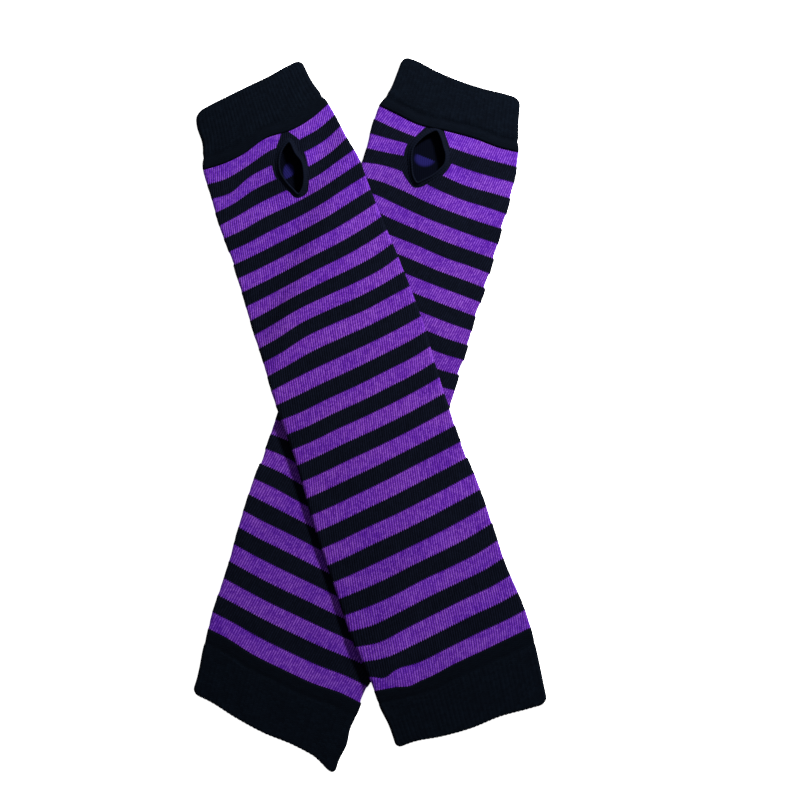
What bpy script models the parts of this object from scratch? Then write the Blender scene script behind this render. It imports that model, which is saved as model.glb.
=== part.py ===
"""A pair of long fingerless gloves in striped knit, laid flat and crossed, the upper one over the lower one.

Each glove is one knitted tube with an upper and a lower panel that lie on each other and meet at two folds:
a black ribbed hand cuff, a body of 35 stripes, a black ribbed arm cuff, and a band round the thumb hole.
Places along a glove are counted in stripes: course 0 is the hand cuff's edge, course 35 the arm cuff's.
Lengths are in millimetres until a mesh is made. Up is +Z, and the pair lies on the plane z = 0.
"""
import math
from collections import namedtuple

import bpy
import bmesh
import numpy as np

MM = 0.001

# The cloth: the walls, the air between a glove's two panels, how much higher an upper panel is in its middle
# than at its folds, and the gap between pieces that touch.
BODY_WALL = 1.3
CUFF_WALL = 1.5
PANEL_GAP = 0.5
CROWN = 0.9
CLEAR = 0.3
STRIPES = 35
STRIPE_PITCH = 8.0
NARROWEST_STRIPE = 6.8

# The cuffs: the ribs across one face, their height, the corners' radius, and where a drooping corner starts.
RIBS = 35
RIB_RISE = 0.35
CORNER = 3.5
CORNER_STEP = 1.0
CUFF_STEP = 12.0
DROOP_START = 0.65

# The upper glove over the lower one: its full height reaches past the lower one's outline, then slopes down.
LIFT = 2 * BODY_WALL + PANEL_GAP + CROWN + CLEAR
FULL_LIFT_REACH = 6.0
RAMP = 17.0

# The thumb holes: how far round them the cloth stands up, the band's width, how far it hides the cut edge,
# and how pointed its ends are.
BULGE_REACH = 13.0
BAND_WIDTH = 3.4
HOLE_MARGIN = 1.0
LENS_POWER = 1.5
CUTTER_HEIGHT = 12.0

# The band's profile, from its outer edge inwards: the share of its width, and the height over its seat.
BandPoint = namedtuple("BandPoint", "inward rise")
BAND_PROFILE = (
    BandPoint(0.0, 0.0),
    BandPoint(0.0, 0.6),
    BandPoint(0.45, 1.2),
    BandPoint(0.75, 1.5),
    BandPoint(1.0, 1.05),
    BandPoint(1.0, 0.0),
)

# How finely the walls are divided. The panel's flat facets stand up to FACET_RISE over its true curve.
BODY_TOP_POINTS = 15
BODY_BOTTOM_POINTS = 13
CUFF_BOTTOM_POINTS = 9
FOLD_ANGLES = (45, 0, -45)
BAND_STATIONS = 36
OUTLINE_STEPS = 60
NEAR_HOLE_COURSES = 7
NEAR_HOLE_STEP = 0.5
LOCATE_ROUNDS = 12
FACET_RISE = 0.2

# One row for each section: its course, the middle of its line, the width from fold to fold, how far the line
# turns from the X axis, how far its middle sags towards the arm, and how far its right end hangs past that.
Section = namedtuple("Section", "course middle_x middle_y across tilt bow droop")

UPPER_SECTIONS = (
    Section(-3.8, -61.3, 167.0, 59.6, 27.1, 0.0, 0.0),
    Section(-1.8, -57.2, 154.2, 63.5, 27.6, 0.8, 0.0),
    Section(0, -52.8, 141.2, 71.8, 27.7, 1.5, 0.0),
    Section(2, -47.5, 128.0, 75.4, 29.5, 1.5, 0.0),
    Section(5, -39.5, 108.6, 79.6, 29.2, 1.8, 0.0),
    Section(9, -29.2, 81.3, 80.8, 28.5, 1.1, 0.0),
    Section(12, -21.8, 60.2, 83.5, 28.5, 0.2, 0.0),
    Section(16, -11.6, 31.0, 84.8, 26.6, -0.3, 0.0),
    Section(20, -1.8, 0.5, 83.2, 26.2, 0.8, 0.0),
    Section(25, 11.4, -40.7, 86.0, 26.3, 0.5, 0.0),
    Section(30, 26.2, -83.0, 86.1, 26.0, 1.1, 0.0),
    Section(35, 42.5, -124.4, 86.0, 22.0, 1.9, 0.0),
    Section(39.1, 51.6, -158.5, 80.0, 16.6, 0.3, 0.0),
)

LOWER_SECTIONS = (
    Section(-3.9, 46.5, 171.6, 63.7, -19.8, 2.5, 0.0),
    Section(-1.9, 43.9, 158.4, 66.7, -19.5, 2.0, 0.0),
    Section(0, 40.5, 145.4, 74.2, -18.6, 1.5, 0.0),
    Section(4, 33.1, 115.1, 78.5, -19.7, 0.8, 0.0),
    Section(9, 21.5, 78.4, 79.9, -20.7, 0.5, 0.0),
    Section(14, 10.1, 41.9, 81.3, -20.4, 0.3, 0.0),
    Section(20, -4.4, -3.6, 82.8, -22.6, 0.6, 0.0),
    Section(26, -19.6, -50.4, 85.0, -24.8, 1.0, 0.0),
    Section(30, -29.7, -83.8, 85.7, -24.8, 1.2, 0.0),
    Section(35, -43.2, -127.8, 85.9, -26.0, 1.5, 0.0),
    Section(38.9, -53.6, -161.1, 82.2, -28.2, -0.4, 2.6),
)

# The thumb hole's band: its middle, its length and width over all, how far it leans, and how high the cloth
# stands there.
ThumbHole = namedtuple("ThumbHole", "x y length width lean bulge")
Glove = namedtuple("Glove", "name sections hole lies_over")

LOWER = Glove("lower", LOWER_SECTIONS, ThumbHole(29.0, 130.0, 30.4, 21.5, -20.3, 2.2), None)
UPPER = Glove("upper", UPPER_SECTIONS, ThumbHole(-38.2, 125.0, 32.0, 16.4, 7.3, 1.8), LOWER)

COLOURS = {
    "body": (0.115, 0.028, 0.330),
    "cuff": (0.0048, 0.0058, 0.0105),
    "band": (0.0040, 0.0046, 0.0080),
}
KNIT_ROUGHNESS = 0.9


def smooth_step(value):
    """Rises from 0 to 1 with level ends."""
    value = min(max(value, 0.0), 1.0)
    return value * value * (3 - 2 * value)


def section_at(glove, course):
    """The section at any course, on a smooth curve through the rows of the glove's table."""
    courses = np.array([row.course for row in glove.sections], float)
    values = np.array([row[1:] for row in glove.sections], float)
    slopes = np.gradient(values, courses, axis=0)
    index = int(np.clip(np.searchsorted(courses, course) - 1, 0, len(courses) - 2))
    step = courses[index + 1] - courses[index]
    t = (course - courses[index]) / step
    start = (1 + 2 * t) * (1 - t) ** 2 * values[index] + t * (1 - t) ** 2 * step * slopes[index]
    end = t * t * (3 - 2 * t) * values[index + 1] + t * t * (t - 1) * step * slopes[index + 1]
    return Section(course, *(start + end))


def place(section, side):
    """The plan position on a section's line, from side -1 at the left fold to side 1 at the right fold."""
    turn = math.radians(section.tilt)
    hang = section.droop * smooth_step((side - DROOP_START) / (1 - DROOP_START))
    along = section.bow * (1 - side * side) + hang
    across = section.across / 2 * side
    x = section.middle_x + across * math.cos(turn) + along * math.sin(turn)
    y = section.middle_y + across * math.sin(turn) - along * math.cos(turn)
    return x, y


def locate(glove, x, y):
    """The section and side of a plan position, found by stepping along the glove to its line."""
    course = STRIPES / 2
    for _ in range(LOCATE_ROUNDS):
        section = section_at(glove, course)
        turn = math.radians(section.tilt)
        right = (x - section.middle_x) * math.cos(turn) + (y - section.middle_y) * math.sin(turn)
        down = (x - section.middle_x) * math.sin(turn) - (y - section.middle_y) * math.cos(turn)
        side = right / (section.across / 2)
        course += (down - section.bow * (1 - side * side)) / STRIPE_PITCH
        course = min(max(course, glove.sections[0].course), glove.sections[-1].course)
    return section_at(glove, course), side


def hem_distance(glove, course):
    """How far a course is from the nearer end of the glove."""
    ends = [section_at(glove, row.course) for row in (glove.sections[0], glove.sections[-1])]
    here = section_at(glove, course)
    return min(math.hypot(here.middle_x - end.middle_x, here.middle_y - end.middle_y) for end in ends)


def rounded_section(glove, course):
    """A section, narrowed near an end of the glove so that the cuff's corners are round."""
    section = section_at(glove, course)
    short_of = max(CORNER - hem_distance(glove, course), 0.0)
    inset = CORNER - math.sqrt(CORNER ** 2 - short_of ** 2)
    return section._replace(across=section.across - 2 * inset)


def outline(glove):
    """The glove's outline in plan, as points from the hand end to the arm end and back."""
    courses = np.linspace(glove.sections[0].course, glove.sections[-1].course, OUTLINE_STEPS)
    sections = [rounded_section(glove, course) for course in courses]
    left = [place(section, -1) for section in sections]
    right = [place(section, 1) for section in sections]
    return np.array(left + right[::-1])


def outline_distance(points, x, y):
    """How far a plan position is outside a closed outline, or minus how far it is inside."""
    spot = np.array((x, y))
    ahead = np.roll(points, -1, axis=0)
    edge = ahead - points
    length = (edge ** 2).sum(axis=1)
    t = np.clip(((spot - points) * edge).sum(axis=1) / length, 0, 1)
    nearest = np.linalg.norm(points + edge * t[:, None] - spot, axis=1).min()
    crossing = (points[:, 1] > y) != (ahead[:, 1] > y)
    level = np.where(edge[:, 1] == 0, 1.0, edge[:, 1])
    left_of = x < points[:, 0] + (y - points[:, 1]) * edge[:, 0] / level
    inside = np.count_nonzero(crossing & left_of) % 2 == 1
    return -nearest if inside else nearest


LOWER_OUTLINE = outline(LOWER)


def lift(glove, x, y):
    """How high the glove's underside is: it rests on the floor, and climbs over the glove beneath it."""
    if glove.lies_over is None:
        return 0.0
    outside = outline_distance(LOWER_OUTLINE, x, y)
    return LIFT * (1 - smooth_step((outside - FULL_LIFT_REACH) / RAMP))


def bulge(glove, x, y):
    """How far the upper panel stands up round the thumb hole."""
    away = math.hypot(x - glove.hole.x, y - glove.hole.y) / BULGE_REACH
    return glove.hole.bulge * math.exp(-away ** 2)


def upper_rise(glove, x, y, side):
    """The height of the upper panel's outer face over its height at the folds."""
    return CROWN * (1 - side * side) + bulge(glove, x, y)


def ring(glove, course, wall, inset, top_points, bottom_points, rib_rise=0.0):
    """Points round the glove at one course, over the upper panel from left to right and back under it.

    The inset is 0 for the outer face and the wall's thickness for the inner face. Every second point of
    the upper panel is raised by the rib rise.
    """
    section = rounded_section(glove, course)
    height = 2 * wall + PANEL_GAP
    half = section.across / 2
    flat = half - height / 2
    radius = height / 2 - inset
    path = []
    for index, across in enumerate(np.linspace(-flat, flat, top_points)):
        x, y = place(section, across / half)
        rise = upper_rise(glove, x, y, across / flat) + (index % 2) * rib_rise
        path.append((across, height - inset + rise))
    right_fold = [
        (flat + radius * math.cos(math.radians(angle)), height / 2 + radius * math.sin(math.radians(angle)))
        for angle in FOLD_ANGLES
    ]
    path += right_fold
    path += [(across, inset) for across in np.linspace(flat, -flat, bottom_points)]
    path += [(-across, z) for across, z in reversed(right_fold)]
    points = []
    for across, z in path:
        x, y = place(section, across / half)
        points.append((x, y, z + lift(glove, x, y)))
    return points


def add_ring(mesh, points):
    """Adds a ring's points to a mesh, scaled to metres."""
    return [mesh.verts.new((x * MM, y * MM, z * MM)) for x, y, z in points]


def skin(mesh, first, second):
    """Two triangles for each pair of neighbours on two rings of equal length."""
    count = len(first)
    for index in range(count):
        after = (index + 1) % count
        mesh.faces.new((first[index], second[index], second[after]))
        mesh.faces.new((first[index], second[after], first[after]))


def rim(mesh, outer, inner):
    """Closes a hem between the outer ring and an inner one with as many points, or half as many."""
    ratio = len(outer) // len(inner)
    if ratio == 1:
        skin(mesh, outer, inner)
        return
    for index, point in enumerate(inner):
        near, middle = outer[2 * index], outer[2 * index + 1]
        far = outer[(2 * index + 2) % len(outer)]
        following = inner[(index + 1) % len(inner)]
        mesh.faces.new((near, point, middle))
        mesh.faces.new((middle, point, following))
        mesh.faces.new((middle, following, far))


def tube_wall(glove, courses, wall, top_points, bottom_points, rib_rise=0.0, inner_step=1):
    """A closed wall round the glove along some courses: an outer and inner skin, and a rim at each end."""
    mesh = bmesh.new()
    outer = []
    inner = []
    for course in courses:
        shared = (glove, course, wall)
        outer.append(add_ring(mesh, ring(*shared, 0.0, top_points, bottom_points, rib_rise)))
        inner.append(add_ring(mesh, ring(*shared, wall, top_points, bottom_points)[::inner_step]))
    for start, end in zip(outer, outer[1:]):
        skin(mesh, start, end)
    for start, end in zip(inner, inner[1:]):
        skin(mesh, end, start)
    rim(mesh, outer[0], inner[0])
    rim(mesh, outer[-1], inner[-1])
    bmesh.ops.recalc_face_normals(mesh, faces=mesh.faces)
    return mesh


def lens(hole, station, grow):
    """A plan position on the thumb hole's pointed oval, drawn in or out from the band's outer edge."""
    angle = 2 * math.pi * station / BAND_STATIONS
    swing = math.copysign(abs(math.sin(angle)) ** LENS_POWER, math.sin(angle))
    along = (hole.length / 2 + grow) * math.cos(angle)
    across = (hole.width / 2 + grow) * swing
    lean = math.radians(hole.lean)
    x = hole.x + across * math.cos(lean) - along * math.sin(lean)
    y = hole.y + across * math.sin(lean) + along * math.cos(lean)
    return x, y


def panel_top(glove, x, y):
    """The height of the upper panel's outer face at a plan position on the body."""
    section, side = locate(glove, x, y)
    height = 2 * BODY_WALL + PANEL_GAP
    return lift(glove, x, y) + height + upper_rise(glove, x, y, side)


def thumb_band(glove):
    """The band round the thumb hole, made from the panel's own heights and moved out to lie on it."""
    mesh = bmesh.new()
    rings = []
    for station in range(BAND_STATIONS):
        points = []
        for point in BAND_PROFILE:
            x, y = lens(glove.hole, station, -point.inward * BAND_WIDTH)
            points.append((x, y, panel_top(glove, x, y) + FACET_RISE + CLEAR + point.rise))
        rings.append(add_ring(mesh, points))
    for index, start in enumerate(rings):
        skin(mesh, start, rings[(index + 1) % BAND_STATIONS])
    bmesh.ops.recalc_face_normals(mesh, faces=mesh.faces)
    return mesh


def hole_cutter(glove):
    """A prism through the upper panel alone, a little wider than the opening that the band leaves."""
    floor = BODY_WALL + PANEL_GAP / 2
    ceiling = floor + CUTTER_HEIGHT
    grow = HOLE_MARGIN - BAND_WIDTH
    mesh = bmesh.new()
    bmesh.ops.create_cone(mesh, cap_ends=True, segments=BAND_STATIONS, radius1=1, radius2=1, depth=1)
    for vertex in mesh.verts:
        angle = math.atan2(vertex.co.y, vertex.co.x)
        x, y = lens(glove.hole, BAND_STATIONS * angle / (2 * math.pi), grow)
        z = ceiling if vertex.co.z > 0 else floor
        vertex.co = (x * MM, y * MM, z * MM)
    bmesh.ops.recalc_face_normals(mesh, faces=mesh.faces)
    return mesh


def material(name, colour):
    """A matt knit in one colour."""
    result = bpy.data.materials.new(name)
    result.use_nodes = True
    shader = result.node_tree.nodes["Principled BSDF"]
    shader.inputs["Base Color"].default_value = (*colour, 1.0)
    shader.inputs["Roughness"].default_value = KNIT_ROUGHNESS
    shader.inputs["Metallic"].default_value = 0.0
    return result


def add_object(name, mesh, collection, colour=None):
    """Makes an object of a built mesh and puts it in a collection."""
    data = bpy.data.meshes.new(name)
    mesh.to_mesh(data)
    mesh.free()
    thing = bpy.data.objects.new(name, data)
    collection.objects.link(thing)
    if colour:
        data.materials.append(material(name, colour))
        data.shade_smooth()
        data.set_sharp_from_angle(angle=math.radians(40))
    return thing


def cut(piece, tool):
    """Cuts one object with another, which stays as a guide."""
    tool.hide_render = True
    tool.display_type = "WIRE"
    boolean = piece.modifiers.new("thumb hole", "BOOLEAN")
    boolean.operation = "DIFFERENCE"
    boolean.solver = "EXACT"
    boolean.object = tool


def seam_gap():
    """Half the gap at a cuff's edge, in courses of the narrowest stripe."""
    return CLEAR / 2 / NARROWEST_STRIPE


def cuff_courses(glove, end):
    """The courses of a cuff's sections: close together in its round corners, then evenly spaced."""
    hem = glove.sections[0 if end == "hand" else -1].course
    seam = -seam_gap() if end == "hand" else STRIPES + seam_gap()
    length = hem_distance(glove, seam)
    per_mm = (seam - hem) / length
    steps = math.ceil((length - CORNER) / CUFF_STEP)
    distances = [0.0, CORNER_STEP, CORNER]
    distances += [CORNER + (length - CORNER) * index / steps for index in range(1, steps + 1)]
    return sorted(hem + distance * per_mm for distance in distances)


def body_courses(glove):
    """The courses of a body's sections: closer near the thumb hole and on the glove that climbs."""
    near_hole = list(np.arange(NEAR_HOLE_STEP, NEAR_HOLE_COURSES, NEAR_HOLE_STEP))
    spread = 1 if glove.lies_over else 2
    beyond = list(range(NEAR_HOLE_COURSES, STRIPES, spread))
    return [seam_gap()] + near_hole + beyond + [STRIPES - seam_gap()]


def build_glove(glove, gloves, guides):
    """All the pieces of one glove."""
    for end in ("hand", "arm"):
        courses = cuff_courses(glove, end)
        mesh = tube_wall(glove, courses, CUFF_WALL, 2 * RIBS + 1, CUFF_BOTTOM_POINTS, RIB_RISE, inner_step=2)
        add_object(f"{glove.name}_{end}_cuff", mesh, gloves, COLOURS["cuff"])
    mesh = tube_wall(glove, body_courses(glove), BODY_WALL, BODY_TOP_POINTS, BODY_BOTTOM_POINTS)
    body = add_object(f"{glove.name}_striped_body", mesh, gloves, COLOURS["body"])
    cut(body, add_object(f"{glove.name}_thumb_hole", hole_cutter(glove), guides))
    add_object(f"{glove.name}_thumb_band", thumb_band(glove), gloves, COLOURS["band"])


def build():
    """Clears the scene and builds the pair."""
    for thing in list(bpy.data.objects):
        bpy.data.objects.remove(thing)
    gloves = bpy.data.collections.new("long fingerless gloves")
    guides = bpy.data.collections.new("cutters")
    for collection in (gloves, guides):
        bpy.context.scene.collection.children.link(collection)
    for glove in (LOWER, UPPER):
        build_glove(glove, gloves, guides)


build()
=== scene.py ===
# %% [markdown]
# # A pair of long fingerless gloves in striped knit
#
# The real gloves are knitted as two long tubes: a ribbed cuff at the hand, a body in stripes of purple and
# black, and a ribbed cuff at the arm. A slit in the upper panel, bound with a black band, lets the thumb
# out. The pair lies flat and crossed, one glove on the other.
#
# The solids of the gloves come packed, in metres, with +Z up. This lesson gives them their looks. It works
# in millimetres and in "courses": a course is one stripe, course 0 is the edge of the hand cuff, and course
# 35 is the edge of the arm cuff.

# %% The packed solids
import math
from collections import namedtuple

import bmesh
import bpy
import numpy as np
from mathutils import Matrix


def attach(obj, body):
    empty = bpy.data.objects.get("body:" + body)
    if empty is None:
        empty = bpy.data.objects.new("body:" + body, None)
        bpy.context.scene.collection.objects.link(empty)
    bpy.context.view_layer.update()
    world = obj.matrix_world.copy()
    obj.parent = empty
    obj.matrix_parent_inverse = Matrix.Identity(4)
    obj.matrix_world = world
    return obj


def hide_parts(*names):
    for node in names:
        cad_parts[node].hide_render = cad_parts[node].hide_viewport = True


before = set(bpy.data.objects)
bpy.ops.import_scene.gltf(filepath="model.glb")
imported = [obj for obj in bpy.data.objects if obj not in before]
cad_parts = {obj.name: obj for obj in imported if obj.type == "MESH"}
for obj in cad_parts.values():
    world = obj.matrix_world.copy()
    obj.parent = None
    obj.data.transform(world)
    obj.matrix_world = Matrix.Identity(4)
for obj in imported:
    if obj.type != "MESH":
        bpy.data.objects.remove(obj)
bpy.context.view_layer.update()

MM = 0.001
print("nodes to dress:", ", ".join(sorted(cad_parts)))

# %% [markdown]
# ## The camera
#
# The photograph looks straight down. A long lens from three metres up keeps the cloth's thickness from
# spreading the picture, as a lens over a copy stand does. The frame is 406.4 mm wide, so a pixel is 0.508
# mm.

# %% Camera
FRAME_WIDTH = 406.4
CAMERA_HEIGHT = 3000.0
CAMERA_AIM = (15.7, 7.4)
CLOTH_MIDDLE = 4.0

camera_data = bpy.data.cameras.new("camera")
camera_data.sensor_width = 36.0
camera_data.lens = camera_data.sensor_width * (CAMERA_HEIGHT - CLOTH_MIDDLE) / FRAME_WIDTH
camera = bpy.data.objects.new("camera", camera_data)
camera.location = (CAMERA_AIM[0] * MM, CAMERA_AIM[1] * MM, CAMERA_HEIGHT * MM)
bpy.context.scene.collection.objects.link(camera)
bpy.context.scene.camera = camera
print("lens:", round(camera_data.lens, 1), "mm")

# %% [markdown]
# ## The gloves' measures
#
# Each glove is one long tube, and a short table describes it. A row is one course: the middle of its line,
# the width from fold to fold, and how far the line turns from the X axis. The values between the rows
# follow a smooth curve, so a dozen rows give the whole outline. The solids were made from the same
# measures.

# %% The line and the width of each tube
STRIPES = 35


def table_of(kind, *values):
    """A table with rows of one kind."""
    return tuple(kind(*value) for value in values)


Section = namedtuple("Section", "course middle_x middle_y across tilt")
UPPER_SECTIONS = table_of(
    Section,
    (-3.8, -61.3, 167.0, 59.6, 27.1),
    (-1.8, -57.2, 154.2, 63.5, 27.6),
    (0, -52.8, 141.2, 71.8, 27.7),
    (2, -47.5, 128.0, 75.4, 29.5),
    (5, -39.5, 108.6, 79.6, 29.2),
    (9, -29.2, 81.3, 80.8, 28.5),
    (12, -21.8, 60.2, 83.5, 28.5),
    (16, -11.6, 31.0, 84.8, 26.6),
    (20, -1.8, 0.5, 83.2, 26.2),
    (25, 11.4, -40.7, 86.0, 26.3),
    (30, 26.2, -83.0, 86.1, 26.0),
    (35, 42.5, -124.4, 86.0, 22.0),
    (39.1, 51.6, -158.5, 80.0, 16.6),
)
LOWER_SECTIONS = table_of(
    Section,
    (-3.9, 46.5, 171.6, 63.7, -19.8),
    (-1.9, 43.9, 158.4, 66.7, -19.5),
    (0, 40.5, 145.4, 74.2, -18.6),
    (4, 33.1, 115.1, 78.5, -19.7),
    (9, 21.5, 78.4, 79.9, -20.7),
    (14, 10.1, 41.9, 81.3, -20.4),
    (20, -4.4, -3.6, 82.8, -22.6),
    (26, -19.6, -50.4, 85.0, -24.8),
    (30, -29.7, -83.8, 85.7, -24.8),
    (35, -43.2, -127.8, 85.9, -26.0),
    (38.9, -53.6, -161.1, 82.2, -28.2),
)
print("rows:", len(UPPER_SECTIONS), "for the upper glove,", len(LOWER_SECTIONS), "for the lower")

# %% [markdown]
# ## The sags' measures
#
# The stripes of the real gloves aren't straight: the cloth was pulled here and there as it was laid down,
# so each course sags between its folds. A second table holds how far, because measures follow the
# photograph more closely than a noise would.

# %% Tables of the sags
# How far each course sags towards the arm from the straight line between its folds, at five sides from the
# left fold (-1) to the right one (1).
SAG_SIDES = (-0.75, -0.4, 0.0, 0.4, 0.75)
Sag = namedtuple("Sag", "course far_left left middle right far_right")
UPPER_SAGS = table_of(
    Sag,
    (-3.8, -0.4, -0.3, -0.1, 0.2, -0.2),
    (-1.8, 1.0, 1.4, 1.0, 1.9, 1.3),
    (0, 1.9, 2.6, 0.8, 3.2, 2.3),
    (1, 2.0, 1.7, 0.3, 2.4, 2.1),
    (2, 2.0, -0.2, 0.4, 2.5, 2.2),
    (3, 0.6, -0.4, 0.8, 3.1, 2.2),
    (4, 0.2, 0.0, 1.1, 2.4, 1.1),
    (5, 0.8, 0.7, 1.8, 1.9, 0.9),
    (6, 0.8, 1.1, 1.8, 1.6, 0.5),
    (8, 0.6, 1.1, 1.3, 1.5, 0.9),
    (10, 0.4, 0.6, 0.8, 1.4, 1.0),
    (12, -0.2, -0.8, 0.0, 1.1, 1.3),
    (14, -0.2, -1.6, -0.9, 0.3, 0.1),
    (16, -0.3, -0.3, 0.2, 0.6, 0.5),
    (18, 0.8, 0.8, 1.3, 1.2, 1.0),
    (21, 0.4, 0.5, 1.0, 1.1, 0.6),
    (24, 0.5, 0.7, 0.8, 0.5, 0.3),
    (27, 0.5, 0.6, 1.1, 0.9, 0.5),
    (30, 1.2, 1.8, 1.3, 1.6, 1.3),
    (32, 2.7, 2.2, 1.7, 1.2, 1.1),
    (34, 2.3, 3.4, 2.4, 1.4, 0.9),
    (35, 2.1, 4.1, 2.6, 1.7, 0.7),
    (37, 0.8, 2.3, 1.7, 0.6, -0.1),
    (39.1, -0.7, 0.7, 1.0, -0.5, -0.1),
)
LOWER_SAGS = table_of(
    Sag,
    (-3.9, -0.2, 1.3, 2.0, 1.6, 0.4),
    (-1.9, 1.1, 2.4, 1.8, 1.0, 0.9),
    (0, 1.3, 2.9, 1.4, 0.5, 0.9),
    (1, 1.1, 2.0, 1.4, 1.4, 0.7),
    (2, -0.5, -1.1, 0.8, 1.3, 0.7),
    (3, -1.0, -2.6, 0.1, 1.4, 0.5),
    (4, -2.0, -2.3, 0.0, 0.8, 0.2),
    (5, -1.4, -1.1, 0.4, 0.7, 0.5),
    (6, -1.9, -1.0, 0.2, 0.5, 0.4),
    (8, -1.2, -0.7, -0.4, 0.4, 0.0),
    (10, -0.8, -0.8, -0.3, 0.0, -0.1),
    (13, -0.5, -0.5, -0.1, 0.3, 0.6),
    (17, -0.4, 0.0, 0.5, 0.7, 1.2),
    (21, -0.4, 0.6, 1.3, 1.6, 1.6),
    (25, -0.2, 1.2, 1.8, 2.0, 1.8),
    (28, 0.7, 1.0, 1.7, 2.2, 1.8),
    (31, 0.8, 1.5, 1.6, 1.8, 1.5),
    (34, 0.3, 1.3, 1.5, 1.2, -0.1),
    (35, 0.2, 1.9, 2.0, 1.7, -0.1),
    (37, -0.4, 0.9, 1.1, 0.3, -0.8),
    (38.9, -0.4, 0.6, 0.7, -1.0, -0.9),
)
print("rows of sags:", len(UPPER_SAGS), "and", len(LOWER_SAGS))

# %% The two gloves
# A thumb hole: its middle, and how far the cloth stands up round it.
ThumbHole = namedtuple("ThumbHole", "x y bulge")
Glove = namedtuple("Glove", "name sections sags hole rests_on")
LOWER = Glove("lower", LOWER_SECTIONS, LOWER_SAGS, ThumbHole(29.0, 130.0, 2.2), None)
UPPER = Glove("upper", UPPER_SECTIONS, UPPER_SAGS, ThumbHole(-38.2, 125.0, 1.8), LOWER)
print("thumb holes at", LOWER.hole[:2], "and", UPPER.hole[:2])

# %% [markdown]
# ## From a table to a curve
#
# Any point of a glove is named by its course and its side, from -1 at the left fold to 1 at the right fold.
# The helpers turn whole arrays of such names into places at once, which is quick. The first one reads a
# table as a smooth curve through its rows.

# %% Curves through a table
def through(knots, values, at):
    """A smooth curve through a table's rows, read at any places along it."""
    knots = np.asarray(knots, float)
    values = np.asarray(values, float)
    at = np.clip(np.asarray(at, float), knots[0], knots[-1])
    slopes = np.gradient(values, knots, axis=0)
    index = np.clip(np.searchsorted(knots, at) - 1, 0, len(knots) - 2)
    step = knots[index + 1] - knots[index]
    t = (at - knots[index]) / step
    if values.ndim > 1:
        step, t = step[..., None], t[..., None]
    start = (1 + 2 * t) * (1 - t) ** 2 * values[index] + t * (1 - t) ** 2 * step * slopes[index]
    end = t * t * (3 - 2 * t) * values[index + 1] + t * t * (t - 1) * step * slopes[index + 1]
    return start + end


def smooth_step(value):
    """Rises from 0 to 1 with level ends."""
    value = np.clip(value, 0, 1)
    return value * value * (3 - 2 * value)


def read_table(table, course):
    """A table's columns after the course, at each course."""
    return through([row.course for row in table], [row[1:] for row in table], course)


def section_fields(glove, course):
    """The middle's x and y, the width and the tilt at each course, as four arrays."""
    fields = read_table(glove.sections, course)
    return fields[..., 0], fields[..., 1], fields[..., 2], np.radians(fields[..., 3])


print("halfway, the upper glove is", section_fields(UPPER, STRIPES / 2)[2].round(1), "mm wide")

# %% [markdown]
# ## Length and width
#
# The cuffs' corners are soft on the real gloves. So the width is drawn in along a quarter of a circle near
# each end. It is worked out from the distance to the end, so the same lines serve all corners.

# %% Length and width
CORNER = 3.5
FINE_STEPS = 400


def distance_along(glove, course):
    """How far each course is from the hand hem, along the glove's middle."""
    fine = np.linspace(glove.sections[0].course, glove.sections[-1].course, FINE_STEPS)
    x, y, _, _ = section_fields(glove, fine)
    run = np.concatenate([[0], np.cumsum(np.hypot(np.diff(x), np.diff(y)))])
    return np.interp(course, fine, run)


def width_at(glove, course):
    """The width from fold to fold, drawn in near an end so that the cuff's corners are round."""
    across = section_fields(glove, course)[2]
    run = distance_along(glove, course)
    whole = distance_along(glove, glove.sections[-1].course)
    short_of = np.clip(CORNER - np.minimum(run, whole - run), 0, CORNER)
    return across - 2 * (CORNER - np.sqrt(CORNER ** 2 - short_of ** 2))


for glove in (UPPER, LOWER):
    length = float(distance_along(glove, glove.sections[-1].course))
    print(glove.name, "glove:", round(length, 1), "mm long")

# %% [markdown]
# ## Sags and tugs
#
# The sag at a place is read between the table's rows, and then between its five sides. Near the upper
# glove's arm end a few stitches are caught and tug the last purple stripe out of line. The table's smooth
# curve can't turn that fast, so each tug is a small hill on top of it.

# %% The sag at a place
# A tug: where it is, the courses and the share of the half width that it reaches, and how far down it goes.
Tug = namedtuple("Tug", "course side courses share down")
TUGS = {
    "upper": (
        Tug(34.0, -0.84, 0.45, 0.10, 2.0),
        Tug(34.0, -0.61, 0.45, 0.12, -0.9),
        Tug(35.0, -0.60, 0.40, 0.11, 1.3),
    ),
    "lower": (),
}


def sag(glove, course, side):
    """How far a point lies towards the arm from the straight line between its folds."""
    rows = read_table(glove.sags, course)
    ends = np.zeros((1, len(SAG_SIDES)))
    weights = through((-1, *SAG_SIDES, 1), np.concatenate([ends, np.eye(len(SAG_SIDES)), ends]), side)
    down = (rows * weights).sum(axis=-1)
    for tug in TUGS[glove.name]:
        away = ((course - tug.course) / tug.courses) ** 2 + ((side - tug.side) / tug.share) ** 2
        down = down + tug.down * np.exp(-away)
    return down


print("tugs:", len(TUGS["upper"]), "on the upper glove")

# %% [markdown]
# ## The folds
#
# The eye follows the folds first. On the real gloves they wander a little, and the purple stripes are
# knitted tighter than the black ones, so a fold draws in over each purple stripe, most at its end. That
# gives the edge its fine sawtooth. No two stripes are alike, so both come from small tables.

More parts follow.
